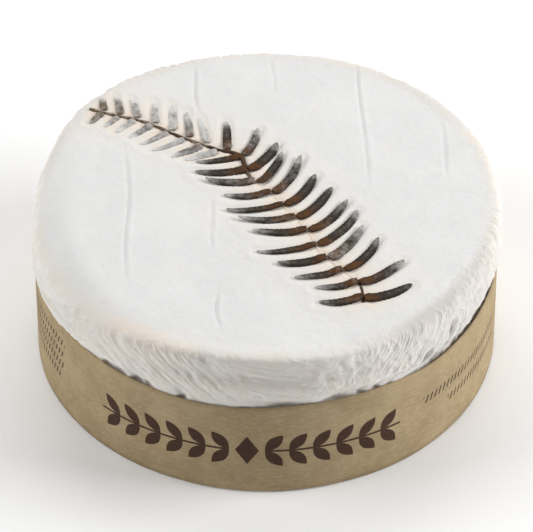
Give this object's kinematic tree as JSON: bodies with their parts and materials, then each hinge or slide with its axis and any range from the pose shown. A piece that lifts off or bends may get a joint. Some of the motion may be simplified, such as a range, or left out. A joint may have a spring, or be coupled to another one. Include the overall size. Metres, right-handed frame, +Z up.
{
  "type": "cheese wheel",
  "caption": "Round soft-ripened cheese wheel with a white bloomy rind, a kraft paper band round its wall and a dried fern frond lying on top.",
  "frame": {"origin": "middle of the wheel's flat base, on the surface that it stands on", "axes": "+Z up through the wheel; -Y is the front, where the band's printed ornament is; the band's glued lap is at +Y"},
  "size_m": [0.128, 0.1291, 0.0503],
  "materials": {
    "rind": "matt bloomy mould rind, faintly creased on top and wrinkled on the wall",
    "kraft_paper": "uncoated brown kraft paper",
    "frond_leaflet": "dried, matt, dark brown, dusted with white mould towards the tip",
    "frond_stem": "dried, matt, red-brown"
  },
  "bodies": {
    "root": {"cheese_wheel": "rind", "paper_band": "kraft_paper", "frond_stem": "frond_stem", "frond_leaflet_left_01": "frond_leaflet", "frond_leaflet_left_02": "frond_leaflet", "frond_leaflet_left_03": "frond_leaflet", "frond_leaflet_left_04": "frond_leaflet", "frond_leaflet_left_05": "frond_leaflet", "frond_leaflet_left_06": "frond_leaflet", "frond_leaflet_left_07": "frond_leaflet", "frond_leaflet_left_08": "frond_leaflet", "frond_leaflet_left_09": "frond_leaflet", "frond_leaflet_left_10": "frond_leaflet", "frond_leaflet_left_11": "frond_leaflet", "frond_leaflet_left_12": "frond_leaflet", "frond_leaflet_left_13": "frond_leaflet", "frond_leaflet_left_14": "frond_leaflet", "frond_leaflet_left_15": "frond_leaflet", "frond_leaflet_left_16": "frond_leaflet", "frond_leaflet_left_17": "frond_leaflet", "frond_leaflet_left_18": "frond_leaflet", "frond_leaflet_left_19": "frond_leaflet", "frond_leaflet_left_20": "frond_leaflet", "frond_leaflet_right_01": "frond_leaflet", "frond_leaflet_right_02": "frond_leaflet", "frond_leaflet_right_03": "frond_leaflet", "frond_leaflet_right_04": "frond_leaflet", "frond_leaflet_right_05": "frond_leaflet", "frond_leaflet_right_06": "frond_leaflet", "frond_leaflet_right_07": "frond_leaflet", "frond_leaflet_right_08": "frond_leaflet", "frond_leaflet_right_09": "frond_leaflet", "frond_leaflet_right_10": "frond_leaflet", "frond_leaflet_right_11": "frond_leaflet", "frond_leaflet_right_12": "frond_leaflet", "frond_leaflet_right_13": "frond_leaflet", "frond_leaflet_right_14": "frond_leaflet", "frond_leaflet_right_15": "frond_leaflet", "frond_leaflet_right_16": "frond_leaflet", "frond_leaflet_right_17": "frond_leaflet", "frond_leaflet_right_18": "frond_leaflet", "frond_leaflet_right_19": "frond_leaflet", "frond_leaflet_right_20": "frond_leaflet"}
  },
  "joints": []
}
